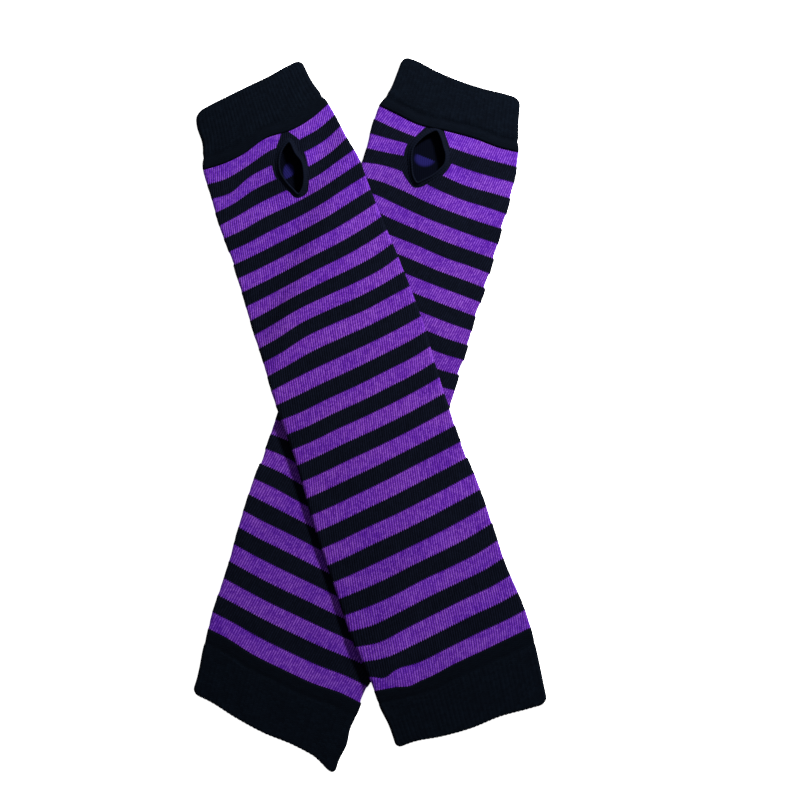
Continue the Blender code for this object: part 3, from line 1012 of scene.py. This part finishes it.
class Finish:
    """A material in the making."""

    def __init__(self, name, constants):
        self.material = bpy.data.materials.new(name)
        self.material.use_nodes = True
        self.tree = self.material.node_tree
        self.shader = self.tree.nodes["Principled BSDF"]
        for socket, value in constants.items():
            self.feed(self.shader.inputs[socket], value)

    def feed(self, socket, value):
        if isinstance(value, Wire):
            self.tree.links.new(value.socket, socket)
        elif socket.type == "RGBA" and len(value) == 3:
            socket.default_value = (*value, 1.0)
        else:
            socket.default_value = value

    def node(self, kind, settings=None, sockets=None, output=0):
        made = self.tree.nodes.new("ShaderNode" + kind)
        for name, value in (settings or {}).items():
            setattr(made, name, value)
        for name, value in (sockets or {}).items():
            self.feed(made.inputs[name], value)
        return Wire(self, made.outputs[output])

    def mix(self, share, first, second):
        return self.node("Mix", {"data_type": "RGBA"}, {0: share, 6: first, 7: second}, output=2)

    def noise(self, vector, scale=1.0):
        return self.node("TexNoise", {}, {"Vector": vector, "Scale": scale})

    def one_for_each(self, first, second):
        """A number from 0 to 1 that differs from stitch to stitch."""
        place = self.vector(first, second)
        return self.node("TexWhiteNoise", {"noise_dimensions": "2D"}, {"Vector": place})

    def knit_map(self):
        """The wale and the row at each point, from the knit's UV map."""
        uv = self.node("UVMap", {"uv_map": "knit"})
        apart = self.node("SeparateXYZ", {}, {0: uv})
        return apart, Wire(self, apart.socket.node.outputs[1])

    def kept(self, name):
        """A number that a mesh keeps at its points."""
        return self.node("Attribute", {"attribute_name": name}, {}, output=2)

    def vector(self, x, y):
        return self.node("CombineXYZ", {}, {0: x, 1: y})

    def surface(self, colour, height, distance):
        """Sends a colour and a bump height to the shader."""
        bump = self.node("Bump", {}, {"Height": height, "Distance": distance})
        self.feed(self.shader.inputs["Base Color"], colour)
        self.feed(self.shader.inputs["Normal"], bump)
        return self.material


print("a finish has", sum(callable(part) for part in vars(Finish).values()), "ways to make nodes")

# %% [markdown]
# ## Light through the holes
#
# In the photograph a little light falls through each thumb hole and shows the cloth inside as a dim purple
# spot. A lamp would also light the lips, so the spot is drawn in the material, by its place in millimetres.

# %% Lit spots
# Where light falls through each thumb hole onto the cloth inside: the middle and half the width and height.
Spot = namedtuple("Spot", "x y wide tall")
SUNLIT = (Spot(-40.9, 123.2, 2.9, 4.7), Spot(28.4, 130.2, 5.4, 4.2))


def lit_spots(finish):
    """1 where light falls through a thumb hole onto the cloth inside, and 0 elsewhere."""
    places = finish.node("SeparateXYZ", {}, {0: finish.node("TexCoord", output=3)})
    x, y = places, Wire(finish, places.socket.node.outputs[1])
    lit = 0.0
    for spot in SUNLIT:
        right, up = (x / MM - spot.x) / spot.wide, (y / MM - spot.y) / spot.tall
        lit = lit + (1 - (right * right + up * up).rising(0.4, 1.3))
    return lit


print("lit spots:", len(SUNLIT))

# %% [markdown]
# ## The striped knit
#
# A plain knit stitch is a small V: two legs that lean towards each other. The pattern names the stitch at
# each point by its wale and its row, and takes the row's stripe for the colour. As the V's legs lean, the
# border between two stripes gets the fine teeth of the real cloth. The grooves between wales and between
# stitches are painted darker, as painted shade. Each stitch differs a little from the next, as yarn does:
# the purple is bluer in one and redder in another, redder as a rule towards the glove's middle, and the
# lightest stitches turn lilac, as a painted highlight.

# %% Colours of the striped knit
BLUISH_PURPLE = (0.062, 0.0125, 0.205)
REDDISH_PURPLE = (0.086, 0.0155, 0.174)
# A painted highlight: the lightest stitches turn towards this lilac, as a painted sheen.
LILAC_SHEEN = (0.104, 0.0460, 0.210)
# PURPLE_DEEP and BLACK_DEEP serve both darker yarn and the painted shade in the grooves between wales and
# stitches.
PURPLE_DEEP = (0.0105, 0.0, 0.056)
# A dim purple pool of painted light, where light falls through a thumb hole onto the cloth inside.
LIT_SPOT_PURPLE = (0.0042, 0.0034, 0.030)
BLACK = (0.0021, 0.0028, 0.0064)
BLACK_DEEP = (0.0003, 0.0004, 0.0010)
# Painted shade: the cloth inside the tube is painted near black, as little light reaches it.
INSIDE_SHADE = (0.0004, 0.0006, 0.0019)
MATT = {"Roughness": 0.95, "Specular IOR Level": 0.01}
print("purples:", BLUISH_PURPLE, "to", REDDISH_PURPLE)

# %% Striped knit
MIDDLE_ROW = 149.0
LEG_LEAN = 0.9
STITCH_BUMP = 0.0001


def striped_knit():
    finish = Finish("striped knit", MATT)
    u, v = finish.knit_map()
    wale = u.floor()
    across = u - wale
    off_middle = abs(across - 0.5) * 2
    leaning = v + (off_middle - 0.5) * LEG_LEAN
    row = leaning.floor()
    in_row = leaning - row
    in_repeat = row % (PURPLE_ROWS + BLACK_ROWS)
    black = in_repeat.rising(PURPLE_ROWS - 0.7, PURPLE_ROWS - 0.3)
    black = black.maths("MAXIMUM", 1 - finish.kept("past_black_border").rising(-0.15, 0.15))
    groove = off_middle.rising(0.3, 1.0)
    gap = (abs(in_row - 0.5) * 2).rising(0.5, 1.0)
    height = (1 - groove * 0.85) * (1 - gap * 0.4)
    stitch = finish.one_for_each(wale, row)
    streak = finish.noise(finish.vector(wale * 0.8, v * 0.12))
    patch = finish.noise(finish.vector(u * 0.05, v * 0.07))
    fibre = finish.noise(finish.vector(u * 2.3, v * 1.7))
    yarn = stitch * 0.32 + fibre * 0.7 + streak * 0.4 + patch * 0.4 - 0.23
    # Painted shade: the grooves between wales and between stitches darken the colour as well as the bump.
    light = yarn * (1 - groove * 0.75) * (1 - gap * 0.25)
    middle = (1 - abs(v / MIDDLE_ROW - 1)).rising(0.0, 0.9)
    tint = patch.rising(0.35, 0.65) * 0.3 + stitch * 0.35 + middle * 0.35
    purple = finish.mix(light, PURPLE_DEEP, finish.mix(tint, BLUISH_PURPLE, REDDISH_PURPLE))
    # Painted highlight: the lightest stitches are mixed towards lilac, a painted sheen.
    purple = finish.mix(light.rising(0.4, 1.1) * 0.7, purple, LILAC_SHEEN)
    dark = finish.mix(light, BLACK_DEEP, BLACK)
    # Painted shade inside the tube, and a pool of painted light where light falls through a thumb hole.
    inside = finish.kept("inside")
    colour = finish.mix(inside, finish.mix(black, purple, dark), INSIDE_SHADE)
    colour = finish.mix(inside * lit_spots(finish) * (1 - black), colour, LIT_SPOT_PURPLE)
    return finish.surface(colour, height, STITCH_BUMP)


STRIPED = striped_knit()
print(STRIPED.name, len(STRIPED.node_tree.nodes), "nodes")

# %% [markdown]
# ## The ribbed knit
#
# Rib shows only its raised wales and hides the others in the valleys. The valleys are painted darker, as
# painted shade, in some places more than in others, as the rib is stretched unevenly. The plain band beside
# the stripes has none, so the mesh keeps for each point how ribbed it is. Some ribbed stitches, picked at
# random, get a painted glint.

# %% Ribbed knit
CUFF_BLACK = (0.0009, 0.0016, 0.0031)
CUFF_DEEP = (0.0005, 0.0008, 0.0016)
RIB_BUMP = 0.00015


def ribbed_knit():
    finish = Finish("black ribbed knit", MATT)
    u, v = finish.knit_map()
    rib = u.floor()
    off_middle = abs((u + 0.5) - (u + 0.5).floor() - 0.5) * 2
    leaning = v + off_middle * LEG_LEAN
    row = leaning.floor()
    gap = (abs(leaning - row - 0.5) * 2).rising(0.6, 1.0)
    ribbed = finish.kept("ribbed")
    cloud = finish.noise(finish.vector(u * 0.12, v * 0.08))
    # Painted shade: the valleys between ribs and the gaps between rows darken the colour as well as the
    # bump.
    valley = off_middle.rising(0.4, 1.0) * ribbed * cloud.rising(0.3, 0.7)
    height = (1 - valley * 0.6) * (1 - gap * 0.45)
    stitch = finish.one_for_each(rib, row)
    glint = stitch.rising(0.75, 1.0) * ribbed
    light = (height * 0.25 + stitch * 0.6 + (cloud - 0.3) * 0.6) * (0.6 + ribbed * 0.4) + glint * 0.5
    return finish.surface(finish.mix(light, CUFF_DEEP, CUFF_BLACK), height, RIB_BUMP)


RIBBED = ribbed_knit()
print(RIBBED.name, len(RIBBED.node_tree.nodes), "nodes")

# %% [markdown]
# ## The band's finish
#
# The overlocked strip is black thread laid side by side round the lip, with a dull fuzz. The threads come
# from the map of the band's grid, and the fuzz from a fine noise. The grooves between the threads are
# painted a little darker, as painted shade.

# %% Black band
BAND_BLACK = (0.0022, 0.0029, 0.0058)
BAND_DEEP = (0.0006, 0.0008, 0.0018)
THREAD_SLANT = 0.12
FUZZ_SCALE = 2500.0
THREAD_BUMP = 0.00006


def band_knit():
    finish = Finish("black band", {"Roughness": 0.95, "Specular IOR Level": 0.0})
    u, v = finish.knit_map()
    slant = v + u * THREAD_SLANT
    thread = abs(slant - slant.floor() - 0.5) * 2
    height = 1 - thread.rising(0.3, 1.0)
    fuzz = finish.noise(finish.node("TexCoord", output=3), FUZZ_SCALE)
    # Painted shade: the colour is a little darker in the grooves between the threads.
    light = height * 0.2 + fuzz * 0.9
    return finish.surface(finish.mix(light, BAND_DEEP, BAND_BLACK), height + fuzz * 0.5, THREAD_BUMP)


BAND = band_knit()
print(BAND.name, len(BAND.node_tree.nodes), "nodes")

# %% [markdown]
# ## Dressing the pieces
#
# Each piece gets its finish, and stands for its solid from here on. All eight ride on the one root body, as
# cloth has no joints.

# %% Finishes and nodes


def dress(piece, material, node):
    """Gives a piece its finish, puts it on the root body and hides the solid that it stands for."""
    piece.data.materials.clear()
    piece.data.materials.append(material)
    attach(piece, "root")
    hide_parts(node)


for glove in (LOWER, UPPER):
    name = glove.name
    dress(bodies[name], STRIPED, f"{name}_striped_body")
    dress(bands[name], BAND, f"{name}_thumb_band")
    for end in ("hand", "arm"):
        dress(cuffs[name, end], RIBBED, f"{name}_{end}_cuff")
    print(name, "glove: body, band and two cuffs dressed")

# %% [markdown]
# ## The flat sizes
#
# A maker works by the flat size of the cloth. Each tube is knitted in the round, so its size is once round
# the tube by its length, and that is its whole cut. The upper body rests on the lower one.

# %% Flat sizes
SIZE_STEPS = 20


def flat_size(glove, start, end):
    """Once round the tube and its length, in metres, between two courses."""
    course = np.linspace(start, end, SIZE_STEPS)
    round_it = 2 * float(section_fields(glove, course)[2].mean())
    length = float(distance_along(glove, end) - distance_along(glove, start))
    return round(round_it * MM, 4), round(length * MM, 4)


for glove in (LOWER, UPPER):
    name = glove.name
    ends = {"hand": (glove.sections[0].course, 0), "arm": (STRIPES, glove.sections[-1].course)}
    size = flat_size(glove, 0, STRIPES)
    print(name, "body, flat:", size)
    for end, (start, stop) in ends.items():
        flat_size(glove, start, stop)
        print(name, end, "cuff, flat:", flat_size(glove, start, stop))

# %% [markdown]
# ## Floor and light
#
# The photograph shows the pair on plain white, lit from the upper right, with the upper glove's edge
# shading the lower glove. A floor that glows a little, as a light table does, stays white up to the gloves'
# edges. A lamp from the upper right and an even sky give the rest.

# %% Floor
FLOOR_SIZE = 6.0
FLOOR_COLOUR = (0.92, 0.92, 0.92)
FLOOR_GLOW = 0.85
FLOOR_HEIGHT = -0.0002

bpy.ops.object.select_all(action="DESELECT")
bpy.ops.mesh.primitive_plane_add(size=FLOOR_SIZE, location=(0, 0, FLOOR_HEIGHT))
floor = bpy.context.object
floor.name = "floor"
table = {
    "Base Color": FLOOR_COLOUR,
    "Roughness": 0.9,
    "Emission Color": FLOOR_COLOUR,
    "Emission Strength": FLOOR_GLOW,
}
floor.data.materials.append(Finish("light table", table).material)
print("floor:", FLOOR_SIZE, "m wide")

# %% Lamp and sky
LAMP_PLACE = (0.38, 0.56, 0.42)
LAMP_SIZE = 0.1
LAMP_POWER = 30.0
SKY_LIGHT = 0.5

lamp_data = bpy.data.lights.new("lamp", "AREA")
lamp_data.size = LAMP_SIZE
lamp_data.energy = LAMP_POWER
lamp = bpy.data.objects.new("lamp", lamp_data)
lamp.location = LAMP_PLACE
lamp.rotation_mode = "QUATERNION"
lamp.rotation_quaternion = (-lamp.location).to_track_quat("-Z", "Y")
bpy.context.scene.collection.objects.link(lamp)

sky = bpy.data.worlds.new("sky")
sky.use_nodes = True
sky.node_tree.nodes["Background"].inputs["Color"].default_value = (1.0, 1.0, 1.0, 1.0)
sky.node_tree.nodes["Background"].inputs["Strength"].default_value = SKY_LIGHT
bpy.context.scene.world = sky
bpy.context.scene.view_settings.view_transform = "Standard"
print("lamp", LAMP_POWER, "W, sky", SKY_LIGHT)
